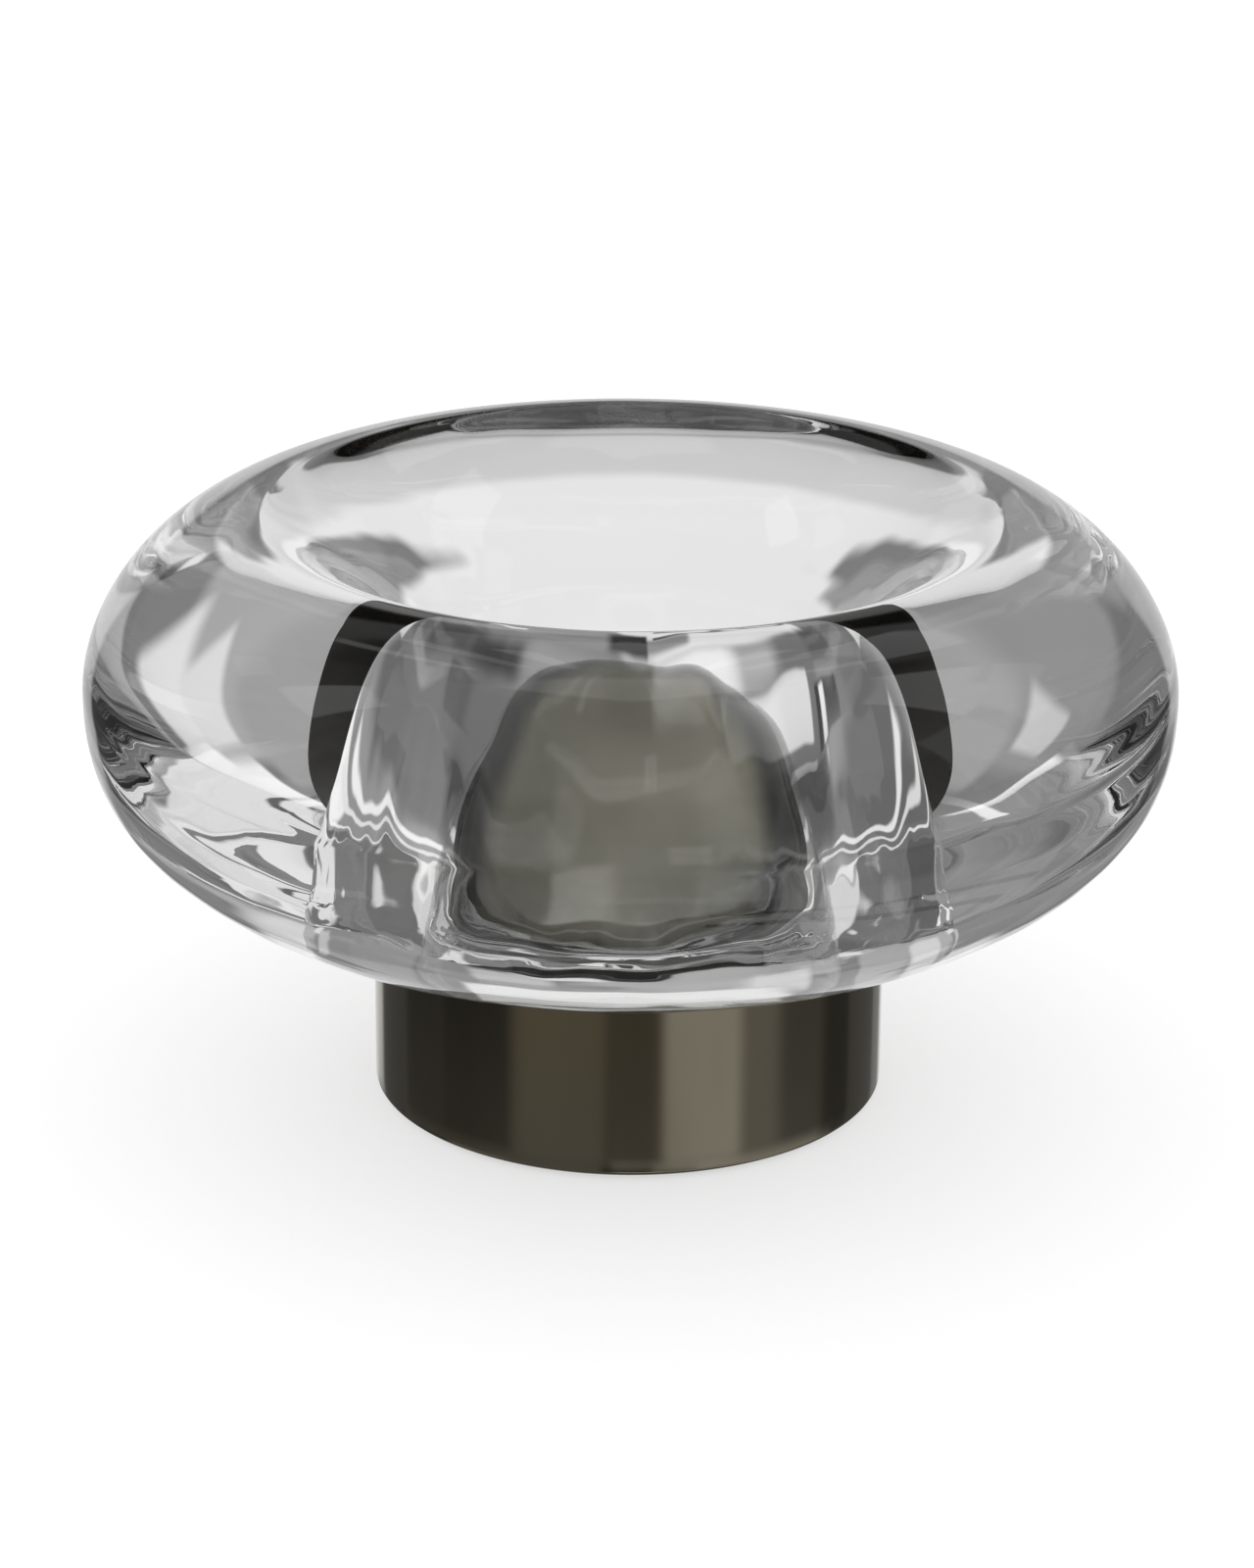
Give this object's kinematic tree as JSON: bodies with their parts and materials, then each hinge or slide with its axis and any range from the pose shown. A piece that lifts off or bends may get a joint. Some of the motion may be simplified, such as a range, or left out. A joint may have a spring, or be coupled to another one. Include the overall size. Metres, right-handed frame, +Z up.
{
  "type": "votive candle holder",
  "caption": "Votive candle holder: a thick clear glass ring with a blind candle well, bonded on the spigot of a weighted round metal foot with a felt pad.",
  "frame": {"origin": "centre of the foot's rest face, where the felt pad meets the table", "axes": "+Z up along the common axis of glass and foot, out of the candle well"},
  "size_m": [0.12, 0.12, 0.067],
  "materials": {
    "clear_glass": "polished, clear, colourless",
    "clear_adhesive": "clear cured adhesive",
    "dark_bronze": "dark bronze, mirror polished",
    "cast_iron": "as cast, black",
    "zinc_plated_steel": "zinc plated",
    "black_felt": "pressed felt"
  },
  "bodies": {
    "root": {"glass_body": "clear_glass", "bond_layer": "clear_adhesive", "base_shell": "dark_bronze", "ballast_disc": "cast_iron", "center_stud": "zinc_plated_steel", "flat_washer": "zinc_plated_steel", "spring_washer": "zinc_plated_steel", "hex_nut": "zinc_plated_steel", "felt_pad": "black_felt"}
  },
  "joints": []
}
